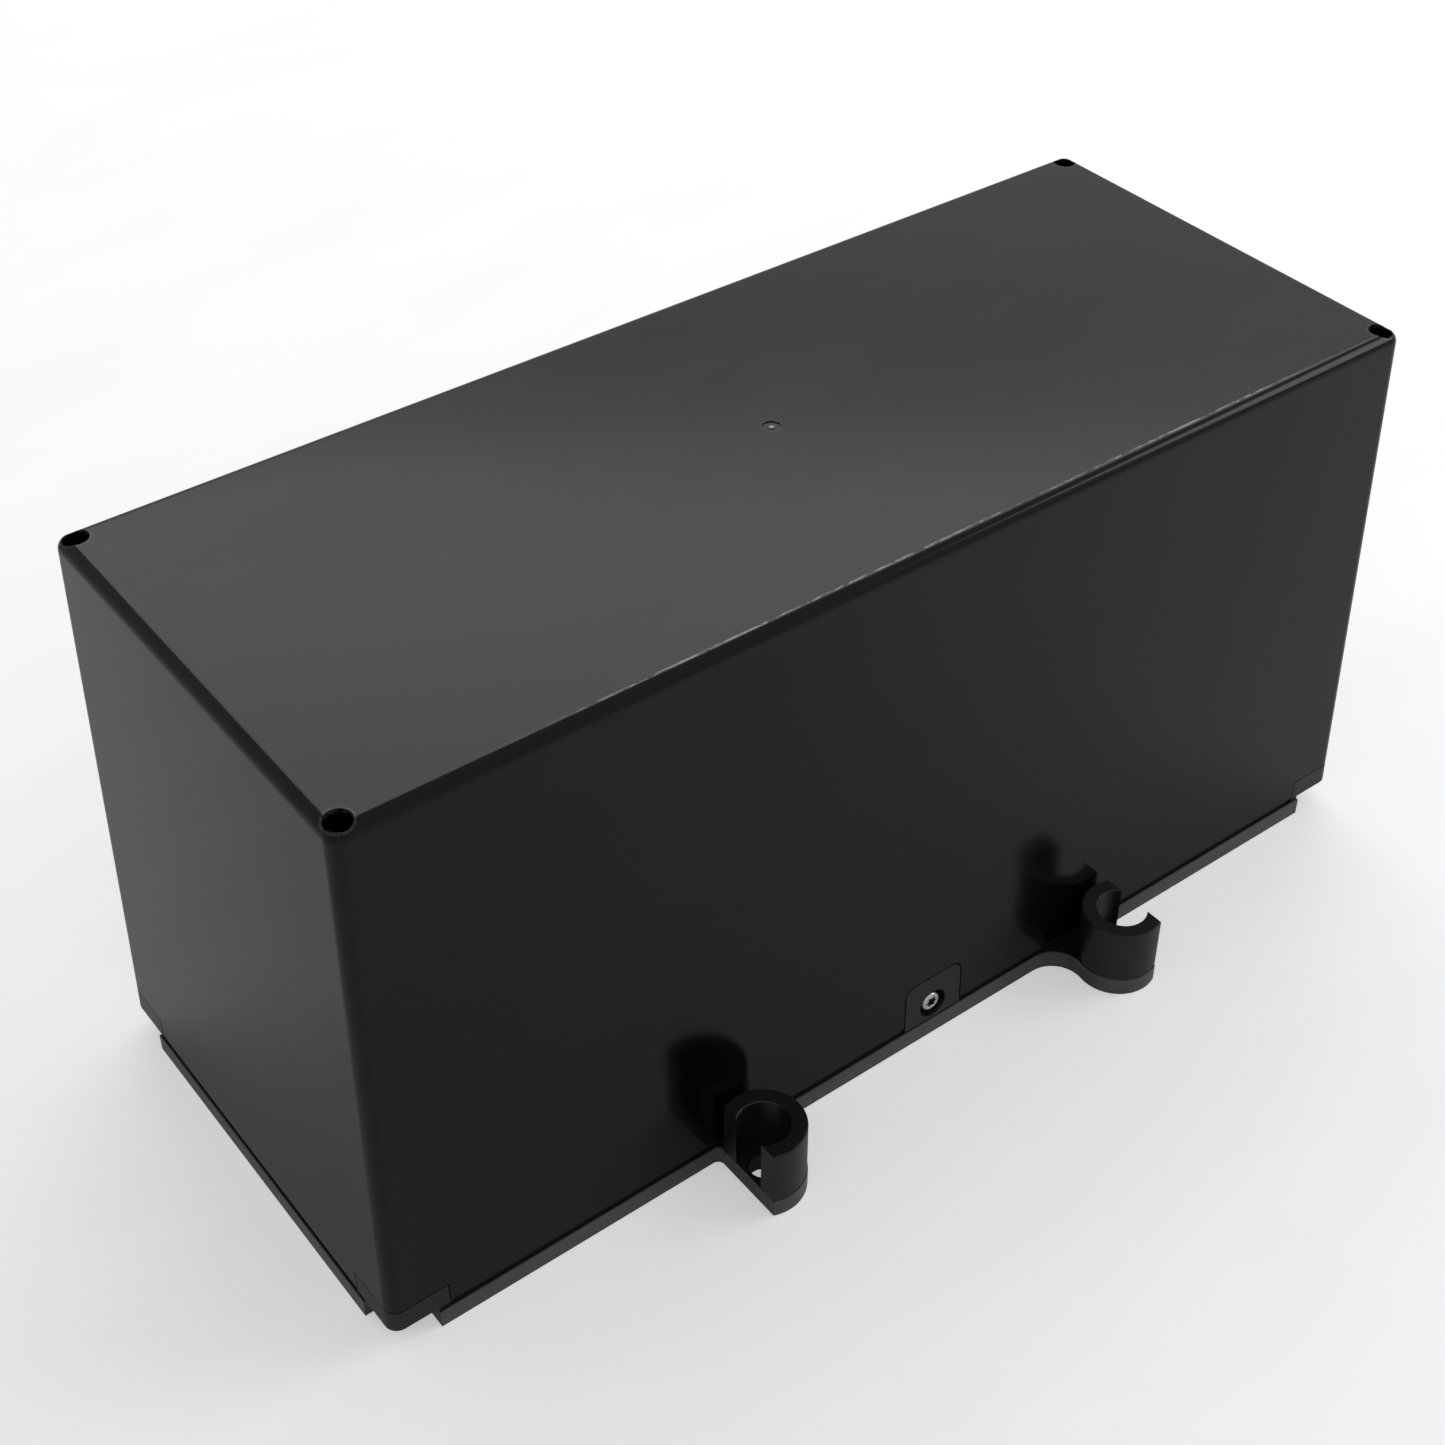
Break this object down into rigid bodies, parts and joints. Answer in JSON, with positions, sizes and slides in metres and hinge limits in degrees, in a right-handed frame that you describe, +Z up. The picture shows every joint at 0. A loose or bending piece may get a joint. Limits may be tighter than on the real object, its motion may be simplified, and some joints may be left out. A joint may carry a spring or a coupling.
{
  "type": "battery box",
  "caption": "Screw-down black plastic battery box: a drafted lift-off cover on a flat base with bolt-down ears, holding sealed 12 V batteries, a fuse and their wiring.",
  "frame": {"origin": "middle of the base's underside, under the middle of the cover", "axes": "+X along the box's length, -Y the long face with the ears and the tongue screw, +Z up through the top"},
  "size_m": [0.314, 0.154, 0.156],
  "materials": {
    "shell_plastic": "semi-gloss black, fine moulded texture",
    "zinc_steel": "bright zinc",
    "brass": "machined",
    "tinned_brass": "tin plated",
    "rubber": "matt",
    "battery_case": "dark grey ABS",
    "battery_lid": "darker grey ABS",
    "red_plastic": "red",
    "black_plastic": "black",
    "bar_paint": "black powder coat on steel",
    "connector_plastic": "off-white polyamide",
    "fuse_plastic": "yellow, see-through",
    "red_wire": "red PVC",
    "black_wire": "black PVC"
  },
  "bodies": {
    "base": {"base": "shell_plastic", "edge_gaskets": "rubber", "cable_grommet": "rubber", "tongue_insert": "brass", "corner_inserts": "brass", "left_battery_case": "battery_case", "left_battery_lid": "battery_lid", "left_battery_vent_strip": "battery_lid", "right_battery_case": "battery_case", "right_battery_lid": "battery_lid", "right_battery_vent_strip": "battery_lid", "left_battery_terminals": "tinned_brass", "right_battery_terminals": "tinned_brass", "positive_collars": "red_plastic", "negative_collars": "black_plastic", "positive_sleeves": "red_plastic", "negative_sleeves": "black_plastic", "seat_strips": "rubber", "battery_divider": "black_plastic", "left_clamp_bar": "bar_paint", "right_clamp_bar": "bar_paint", "tie_rods": "zinc_steel", "tie_rod_washers": "zinc_steel", "wing_nuts": "zinc_steel", "terminal_block": "connector_plastic", "clamp_screws": "zinc_steel", "fuse_holder": "black_plastic", "series_link": "red_wire", "negative_lead": "black_wire", "positive_lead": "red_wire", "fused_lead": "red_wire"},
    "cover": {"cover": "shell_plastic"},
    "cover_screws": {"cover_screws": "zinc_steel"},
    "tongue_screw": {"tongue_screw": "zinc_steel"},
    "fuse": {"fuse": "fuse_plastic"}
  },
  "joints": [
    {"name": "cover_lift", "type": "slide", "parent": "base", "child": "cover", "axis": [0, 0, 1], "range_m": [0, 0.17]},
    {"name": "cover_screws_out", "type": "slide", "parent": "cover", "child": "cover_screws", "axis": [0, 0, 1], "range_m": [0, 0.155]},
    {"name": "tongue_screw_out", "type": "slide", "parent": "base", "child": "tongue_screw", "axis": [0, -1, 0], "range_m": [0, 0.013]},
    {"name": "fuse_out", "type": "slide", "parent": "base", "child": "fuse", "axis": [0, 0, 1], "range_m": [0, 0.012]}
  ]
}
